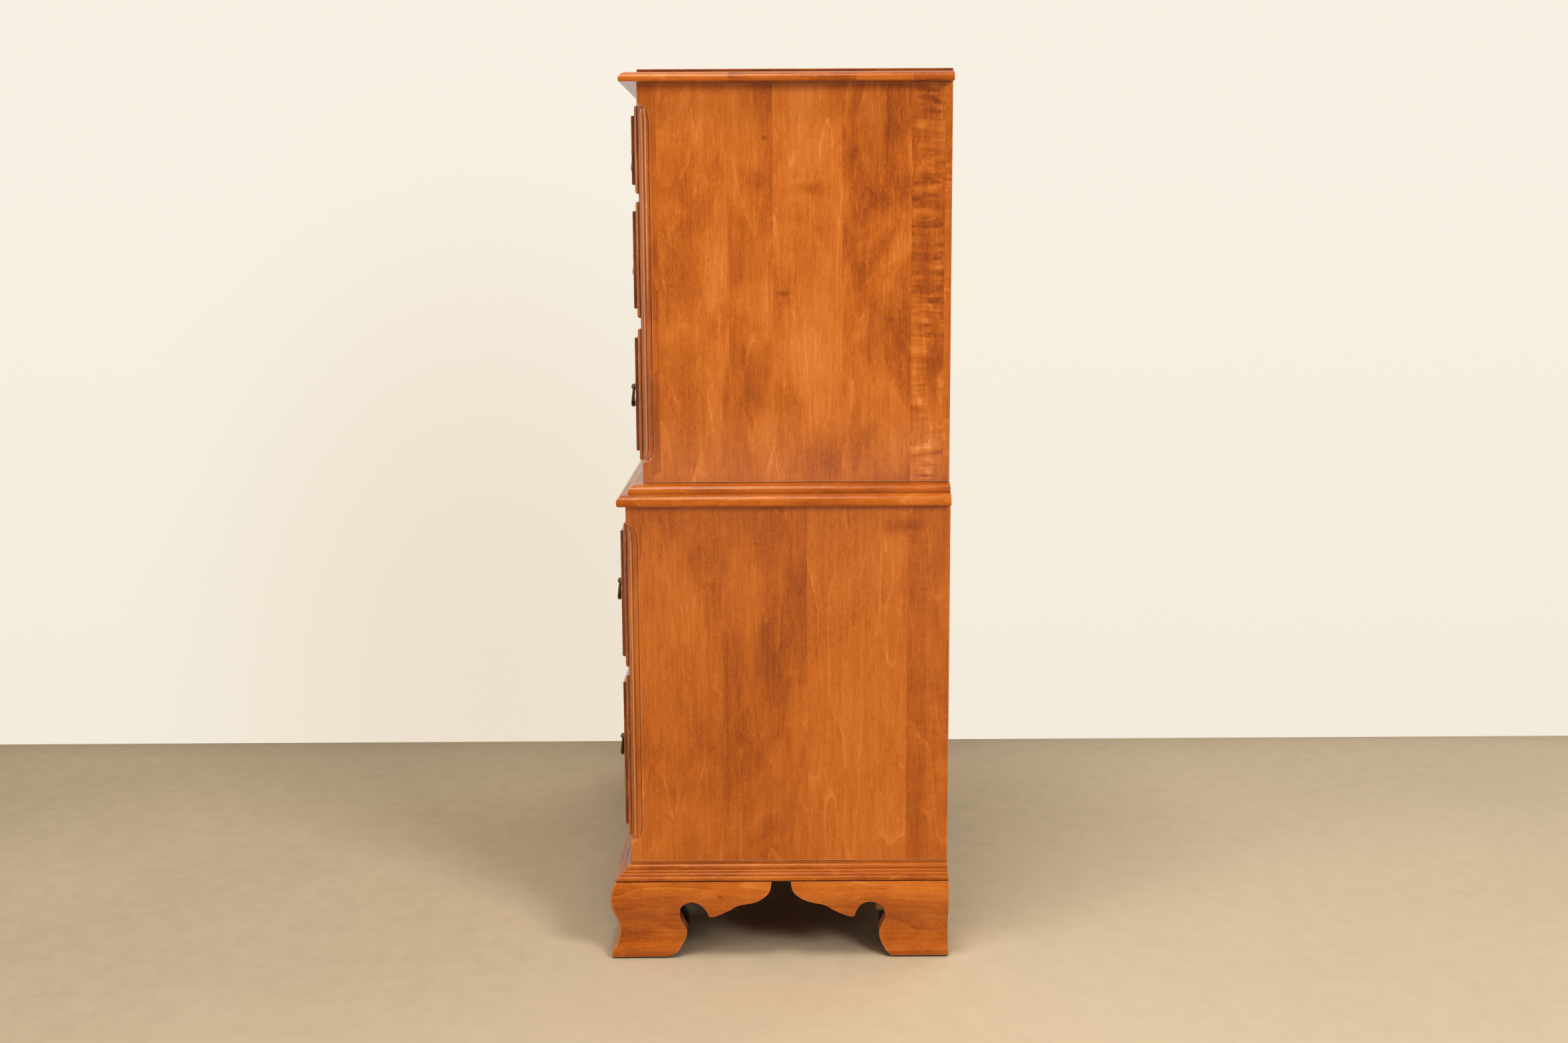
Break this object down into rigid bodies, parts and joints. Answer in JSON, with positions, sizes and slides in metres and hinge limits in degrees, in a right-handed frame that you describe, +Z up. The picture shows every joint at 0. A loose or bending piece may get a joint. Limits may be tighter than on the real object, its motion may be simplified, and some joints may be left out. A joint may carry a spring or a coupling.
{
  "type": "chest on chest",
  "caption": "Chest on chest: an upper and a lower case of lipped drawers with bail handles, on ogee bracket feet that hide swivel casters.",
  "frame": {"origin": "on the floor, under the middle of the chest", "axes": "+Z up; the drawers face -Y; +X is to the right of someone who looks at the drawers"},
  "size_m": [0.9744, 0.4986, 1.2875],
  "materials": {
    "case_wood": "satin varnish over honey brown stained maple",
    "inner_wood": "bare planed secondary wood",
    "drawer_wood": "thin clear coat over pale secondary wood",
    "back_board": "brown stained plywood",
    "handle_brass": "dark antiqued brass",
    "caster_metal": "dulled brass plate",
    "caster_wheel": "black tyre on a dished metal centre"
  },
  "bodies": {
    "chest": {"top_board": "case_wood", "upper_side_left": "case_wood", "upper_side_right": "case_wood", "upper_back": "back_board", "upper_frame": "case_wood", "upper_bottom": "inner_wood", "waist_deck": "case_wood", "lower_side_left": "case_wood", "lower_side_right": "case_wood", "lower_back": "back_board", "lower_frame": "case_wood", "lower_bottom": "inner_wood", "base_moulding": "case_wood", "foot_front_left": "case_wood", "foot_front_right": "case_wood", "foot_rear_left": "case_wood", "foot_rear_right": "case_wood"},
    "drawer_1_left": {"drawer_1_left_front": "case_wood", "drawer_1_left_box": "drawer_wood", "handle_plate_1_left": "handle_brass"},
    "drawer_1_right": {"drawer_1_right_front": "case_wood", "drawer_1_right_box": "drawer_wood", "handle_plate_1_right": "handle_brass"},
    "drawer_2_left": {"drawer_2_left_front": "case_wood", "drawer_2_left_box": "drawer_wood", "handle_plate_2_left": "handle_brass"},
    "drawer_2_right": {"drawer_2_right_front": "case_wood", "drawer_2_right_box": "drawer_wood", "handle_plate_2_right": "handle_brass"},
    "drawer_3": {"drawer_3_front": "case_wood", "drawer_3_box": "drawer_wood", "handle_plate_3_left": "handle_brass", "handle_plate_3_right": "handle_brass"},
    "drawer_4": {"drawer_4_front": "case_wood", "drawer_4_box": "drawer_wood", "handle_plate_4_left": "handle_brass", "handle_plate_4_right": "handle_brass"},
    "drawer_5": {"drawer_5_front": "case_wood", "drawer_5_box": "drawer_wood", "handle_plate_5_left": "handle_brass", "handle_plate_5_right": "handle_brass"},
    "bail_1_left": {"bail_1_left": "handle_brass"},
    "bail_1_right": {"bail_1_right": "handle_brass"},
    "bail_2_left": {"bail_2_left": "handle_brass"},
    "bail_2_right": {"bail_2_right": "handle_brass"},
    "bail_3_left": {"bail_3_left": "handle_brass"},
    "bail_3_right": {"bail_3_right": "handle_brass"},
    "bail_4_left": {"bail_4_left": "handle_brass"},
    "bail_4_right": {"bail_4_right": "handle_brass"},
    "bail_5_left": {"bail_5_left": "handle_brass"},
    "bail_5_right": {"bail_5_right": "handle_brass"},
    "caster_front_left": {"caster_fork_front_left": "caster_metal"},
    "wheel_front_left": {"caster_wheel_front_left": "caster_wheel"},
    "caster_front_right": {"caster_fork_front_right": "caster_metal"},
    "wheel_front_right": {"caster_wheel_front_right": "caster_wheel"},
    "caster_rear_left": {"caster_fork_rear_left": "caster_metal"},
    "wheel_rear_left": {"caster_wheel_rear_left": "caster_wheel"},
    "caster_rear_right": {"caster_fork_rear_right": "caster_metal"},
    "wheel_rear_right": {"caster_wheel_rear_right": "caster_wheel"}
  },
  "joints": [
    {"name": "drawer_1_left_slide", "type": "slide", "parent": "chest", "child": "drawer_1_left", "axis": [0, -1, 0], "range_m": [0, 0.3]},
    {"name": "drawer_1_right_slide", "type": "slide", "parent": "chest", "child": "drawer_1_right", "axis": [0, -1, 0], "range_m": [0, 0.3]},
    {"name": "drawer_2_left_slide", "type": "slide", "parent": "chest", "child": "drawer_2_left", "axis": [0, -1, 0], "range_m": [0, 0.3]},
    {"name": "drawer_2_right_slide", "type": "slide", "parent": "chest", "child": "drawer_2_right", "axis": [0, -1, 0], "range_m": [0, 0.3]},
    {"name": "drawer_3_slide", "type": "slide", "parent": "chest", "child": "drawer_3", "axis": [0, -1, 0], "range_m": [0, 0.3]},
    {"name": "drawer_4_slide", "type": "slide", "parent": "chest", "child": "drawer_4", "axis": [0, -1, 0], "range_m": [0, 0.32]},
    {"name": "drawer_5_slide", "type": "slide", "parent": "chest", "child": "drawer_5", "axis": [0, -1, 0], "range_m": [0, 0.32]},
    {"name": "bail_1_left_swing", "type": "hinge", "parent": "drawer_1_left", "child": "bail_1_left", "pos_m": [-0.207, -0.2141, 1.1828], "axis": [-1, 0, 0], "range_deg": [0, 100]},
    {"name": "bail_1_right_swing", "type": "hinge", "parent": "drawer_1_right", "child": "bail_1_right", "pos_m": [0.207, -0.2141, 1.1828], "axis": [-1, 0, 0], "range_deg": [0, 100]},
    {"name": "bail_2_left_swing", "type": "hinge", "parent": "drawer_2_left", "child": "bail_2_left", "pos_m": [-0.207, -0.2141, 1.0276], "axis": [-1, 0, 0], "range_deg": [0, 100]},
    {"name": "bail_2_right_swing", "type": "hinge", "parent": "drawer_2_right", "child": "bail_2_right", "pos_m": [0.207, -0.2141, 1.0276], "axis": [-1, 0, 0], "range_deg": [0, 100]},
    {"name": "bail_3_left_swing", "type": "hinge", "parent": "drawer_3", "child": "bail_3_left", "pos_m": [-0.278, -0.2141, 0.8337], "axis": [-1, 0, 0], "range_deg": [0, 100]},
    {"name": "bail_3_right_swing", "type": "hinge", "parent": "drawer_3", "child": "bail_3_right", "pos_m": [0.278, -0.2141, 0.8337], "axis": [-1, 0, 0], "range_deg": [0, 100]},
    {"name": "bail_4_left_swing", "type": "hinge", "parent": "drawer_4", "child": "bail_4_left", "pos_m": [-0.302, -0.2381, 0.5422], "axis": [-1, 0, 0], "range_deg": [0, 100]},
    {"name": "bail_4_right_swing", "type": "hinge", "parent": "drawer_4", "child": "bail_4_right", "pos_m": [0.302, -0.2381, 0.5422], "axis": [-1, 0, 0], "range_deg": [0, 100]},
    {"name": "bail_5_left_swing", "type": "hinge", "parent": "drawer_5", "child": "bail_5_left", "pos_m": [-0.302, -0.2381, 0.2992], "axis": [-1, 0, 0], "range_deg": [0, 100]},
    {"name": "bail_5_right_swing", "type": "hinge", "parent": "drawer_5", "child": "bail_5_right", "pos_m": [0.302, -0.2381, 0.2992], "axis": [-1, 0, 0], "range_deg": [0, 100]},
    {"name": "caster_front_left_swivel", "type": "hinge", "parent": "chest", "child": "caster_front_left", "pos_m": [-0.3755, -0.1741, 0.0597], "axis": [0, 0, 1], "continuous": true},
    {"name": "wheel_front_left_turn", "type": "hinge", "parent": "caster_front_left", "child": "wheel_front_left", "pos_m": [-0.3755, -0.1601, 0.0215], "axis": [1, 0, 0], "continuous": true},
    {"name": "caster_front_right_swivel", "type": "hinge", "parent": "chest", "child": "caster_front_right", "pos_m": [0.3755, -0.1741, 0.0597], "axis": [0, 0, 1], "continuous": true},
    {"name": "wheel_front_right_turn", "type": "hinge", "parent": "caster_front_right", "child": "wheel_front_right", "pos_m": [0.3755, -0.1601, 0.0215], "axis": [1, 0, 0], "continuous": true},
    {"name": "caster_rear_left_swivel", "type": "hinge", "parent": "chest", "child": "caster_rear_left", "pos_m": [-0.3755, 0.1594, 0.0597], "axis": [0, 0, 1], "continuous": true},
    {"name": "wheel_rear_left_turn", "type": "hinge", "parent": "caster_rear_left", "child": "wheel_rear_left", "pos_m": [-0.3755, 0.1734, 0.0215], "axis": [1, 0, 0], "continuous": true},
    {"name": "caster_rear_right_swivel", "type": "hinge", "parent": "chest", "child": "caster_rear_right", "pos_m": [0.3755, 0.1594, 0.0597], "axis": [0, 0, 1], "continuous": true},
    {"name": "wheel_rear_right_turn", "type": "hinge", "parent": "caster_rear_right", "child": "wheel_rear_right", "pos_m": [0.3755, 0.1734, 0.0215], "axis": [1, 0, 0], "continuous": true}
  ]
}
